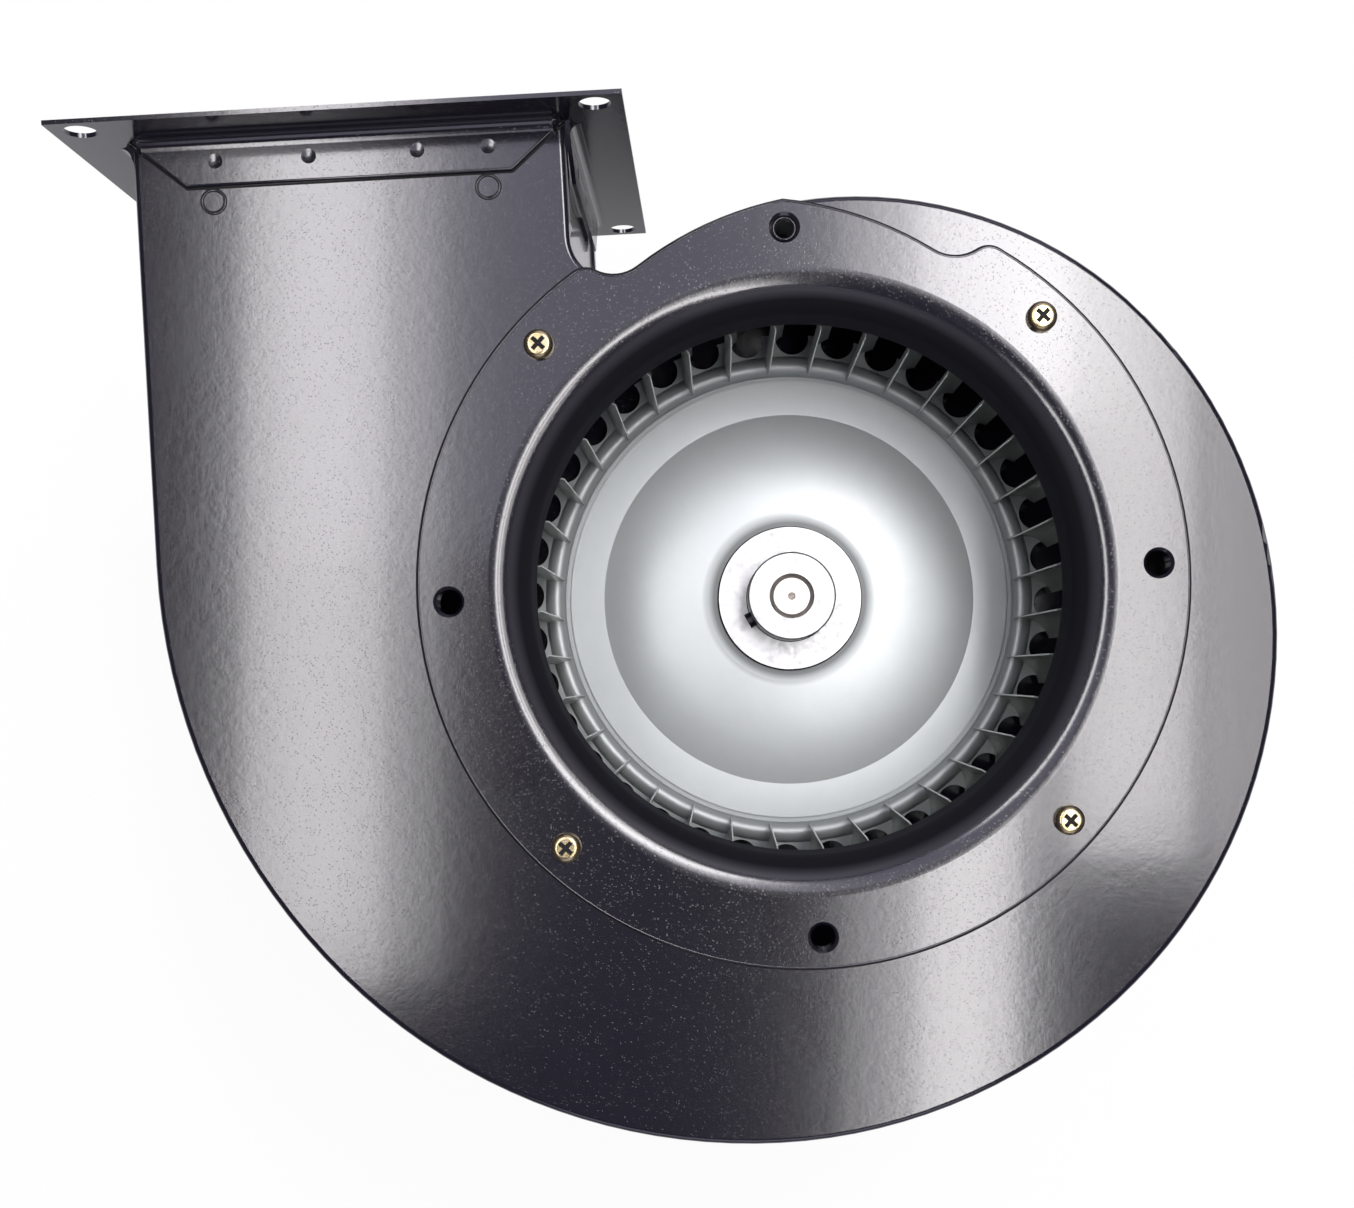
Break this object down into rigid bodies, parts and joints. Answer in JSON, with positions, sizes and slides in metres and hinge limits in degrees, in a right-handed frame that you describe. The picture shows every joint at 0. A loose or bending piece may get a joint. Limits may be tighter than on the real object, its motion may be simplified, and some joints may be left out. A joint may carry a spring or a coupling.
{
  "type": "blower motor",
  "caption": "Single-inlet centrifugal blower with forward-curved impeller, spiral sheet housing, flanged side outlet and fan-cooled motor behind.",
  "frame": {"origin": "on the shaft axis, at the closed end of the fan cover, which the blower stands on", "axes": "+Z along the shaft towards the inlet, +Y from the shaft towards the outlet flange"},
  "size_m": [0.3166, 0.2783, 0.2865],
  "materials": {
    "housing_paint": "glossy charcoal enamel with fine orange peel",
    "motor_paint": "painted charcoal, satin",
    "zinc_plate": "yellow zinc plate",
    "impeller_steel": "galvanised, bright",
    "hub_aluminium": "turned",
    "black_steel": "black oxide",
    "shaft_steel": "ground",
    "bearing_steel": "polished",
    "core_steel": "laminated",
    "cast_aluminium": "die cast",
    "copper": "enamelled wire",
    "black_plastic": "matt black",
    "gasket_rubber": "foam rubber",
    "white_plastic": "moulded",
    "capacitor_case": "drawn"
  },
  "bodies": {
    "housing": {"front_plate": "housing_paint", "rear_plate": "housing_paint", "scroll_band": "housing_paint", "outlet_flange": "housing_paint", "inlet_ring": "housing_paint", "ring_screws": "zinc_plate", "clinch_nuts": "zinc_plate", "front_bearing_outer": "bearing_steel", "rear_bearing_outer": "bearing_steel", "wave_washer": "bearing_steel", "stator_core": "core_steel", "stator_windings": "copper", "motor_frame": "motor_paint", "motor_front_shield": "motor_paint", "motor_rear_shield": "motor_paint", "tie_bolts": "zinc_plate", "motor_bolt_washers": "zinc_plate", "motor_bolts": "zinc_plate", "fan_cover": "housing_paint", "fan_cover_screws": "zinc_plate", "terminal_box": "motor_paint", "lid_gasket": "gasket_rubber", "terminal_lid": "motor_paint", "lid_screws": "zinc_plate", "terminal_block": "white_plastic", "run_capacitor": "capacitor_case", "gland_body": "black_plastic", "gland_cap": "black_plastic"},
    "rotor": {"impeller_disc": "impeller_steel", "impeller_blades": "impeller_steel", "impeller_front_ring": "impeller_steel", "impeller_hub": "hub_aluminium", "hub_set_screw": "black_steel", "shaft": "shaft_steel", "front_bearing_inner": "bearing_steel", "rear_bearing_inner": "bearing_steel", "rotor_core": "core_steel", "rotor_end_rings": "cast_aluminium", "cooling_fan": "black_plastic", "fan_ring": "bearing_steel"}
  },
  "joints": [
    {"name": "impeller_spin", "type": "hinge", "parent": "housing", "child": "rotor", "pos_m": [0, 0, 0.1813], "axis": [0, 0, 1], "continuous": true}
  ]
}
